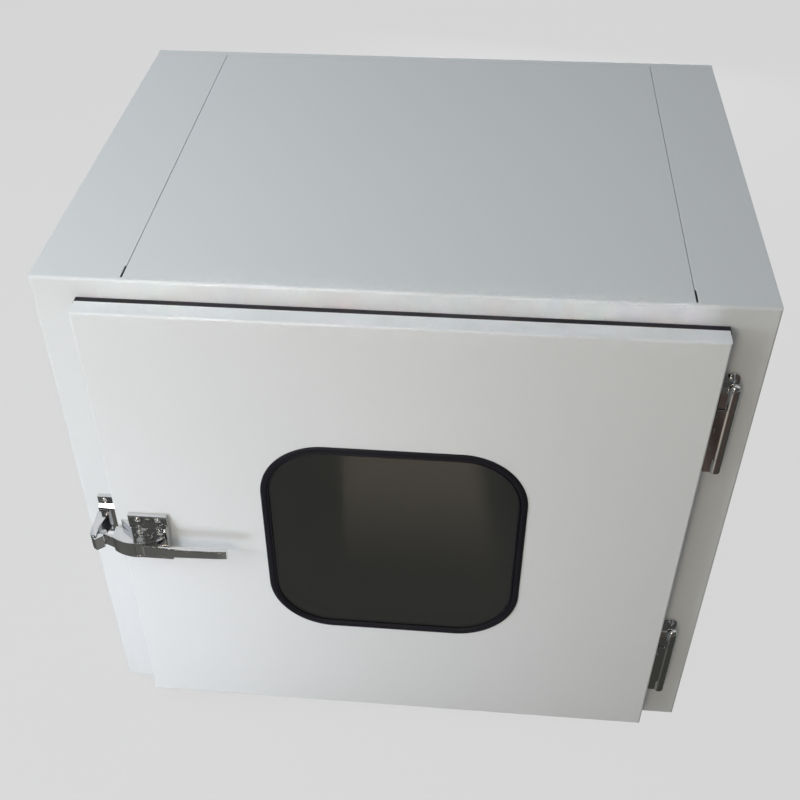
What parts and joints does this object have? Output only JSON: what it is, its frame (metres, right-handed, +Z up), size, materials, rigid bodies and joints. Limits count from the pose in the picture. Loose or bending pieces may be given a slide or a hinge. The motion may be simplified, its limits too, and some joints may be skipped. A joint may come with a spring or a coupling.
{
  "type": "cleanroom pass box",
  "caption": "Stainless-lined transfer cabinet with a hinged window door at each end, roller latches, a mechanical door interlock and a germicidal lamp inside",
  "frame": {"origin": "centre of the cabinet's underside, between the two door faces", "axes": "+X towards the hinge side seen from the front door, +Y from the front door to the rear door, +Z up"},
  "size_m": [0.6625, 0.616, 0.578],
  "materials": {
    "cabinet_paint": "satin powder coat",
    "door_paint": "satin powder coat",
    "chrome_plate": "polished",
    "pin_steel": "turned",
    "screw_steel": "bright zinc",
    "black_rubber": "matt",
    "window_glass": "clear",
    "stainless": "brushed",
    "rail_steel": "galvanised",
    "interlock_steel": "satin",
    "batten_paint": "satin",
    "white_plastic": "matt",
    "ballast_case": "satin",
    "quartz_glass": "clear",
    "cap_aluminium": "satin",
    "black_plastic": "fine texture",
    "contact_brass": "bright"
  },
  "bodies": {
    "cabinet": {"front_frame": "cabinet_paint", "rear_frame": "cabinet_paint", "left_side_panel": "cabinet_paint", "right_side_panel": "cabinet_paint", "top_panel": "cabinet_paint", "base_panel": "cabinet_paint", "chamber_liner": "stainless", "floor_rails": "rail_steel", "roof_rails": "rail_steel", "lamp_batten": "batten_paint", "lamp_holders": "white_plastic", "uv_tube": "quartz_glass", "uv_tube_caps": "cap_aluminium", "lamp_ballast": "ballast_case", "power_inlet": "black_plastic", "inlet_pins": "contact_brass", "switch_bezel": "black_plastic", "interlock_bearings": "interlock_steel", "front_keeper": "chrome_plate", "front_frame_leaves": "chrome_plate", "front_hinge_pins": "pin_steel", "rear_keeper": "chrome_plate", "rear_frame_leaves": "chrome_plate", "rear_hinge_pins": "pin_steel", "frame_screws": "screw_steel"},
    "front_door": {"front_door_skin": "door_paint", "front_inner_pan": "stainless", "front_outer_pane": "window_glass", "front_inner_pane": "window_glass", "front_window_seal": "black_rubber", "front_window_reveal": "stainless", "front_gasket": "black_rubber", "front_door_leaves": "chrome_plate", "front_latch_body": "chrome_plate", "front_latch_pivot": "pin_steel", "front_door_screws": "screw_steel", "front_interlock_catch": "interlock_steel"},
    "front_lever": {"front_latch_lever": "chrome_plate", "front_roller_pin": "pin_steel"},
    "front_roller_body": {"front_roller": "chrome_plate"},
    "rear_door": {"rear_door_skin": "door_paint", "rear_inner_pan": "stainless", "rear_outer_pane": "window_glass", "rear_inner_pane": "window_glass", "rear_window_seal": "black_rubber", "rear_window_reveal": "stainless", "rear_gasket": "black_rubber", "rear_door_leaves": "chrome_plate", "rear_latch_body": "chrome_plate", "rear_latch_pivot": "pin_steel", "rear_door_screws": "screw_steel", "rear_interlock_catch": "interlock_steel"},
    "rear_lever": {"rear_latch_lever": "chrome_plate", "rear_roller_pin": "pin_steel"},
    "rear_roller_body": {"rear_roller": "chrome_plate"},
    "interlock": {"interlock_shaft": "interlock_steel"},
    "rocker": {"switch_rocker": "black_plastic"}
  },
  "joints": [
    {"name": "front_door_hinge", "type": "hinge", "parent": "cabinet", "child": "front_door", "pos_m": [0.3025, -0.265, 0.285], "axis": [0, 0, 1], "range_deg": [0, 120]},
    {"name": "front_latch_pivot", "type": "hinge", "parent": "front_door", "child": "front_lever", "pos_m": [-0.2584, -0.3007, 0.285], "axis": [0, 0, -1], "range_deg": [0, 20]},
    {"name": "front_roller_spin", "type": "hinge", "parent": "front_lever", "child": "front_roller_body", "pos_m": [-0.3, -0.2899, 0.285], "axis": [0, 0, 1], "continuous": true},
    {"name": "rear_door_hinge", "type": "hinge", "parent": "cabinet", "child": "rear_door", "pos_m": [0.3025, 0.265, 0.285], "axis": [0, 0, -1], "range_deg": [0, 120]},
    {"name": "rear_latch_pivot", "type": "hinge", "parent": "rear_door", "child": "rear_lever", "pos_m": [-0.2584, 0.3007, 0.285], "axis": [0, 0, 1], "range_deg": [0, 20]},
    {"name": "rear_roller_spin", "type": "hinge", "parent": "rear_lever", "child": "rear_roller_body", "pos_m": [-0.3, 0.2899, 0.285], "axis": [0, 0, 1], "continuous": true},
    {"name": "interlock_turn", "type": "hinge", "parent": "cabinet", "child": "interlock", "pos_m": [-0.28435, 0, 0.15], "axis": [0, -1, 0], "range_deg": [-25, 25]},
    {"name": "switch_tip", "type": "hinge", "parent": "cabinet", "child": "rocker", "pos_m": [-0.327, 0.08, 0.09], "axis": [0, 1, 0], "range_deg": [-8, 8]}
  ]
}
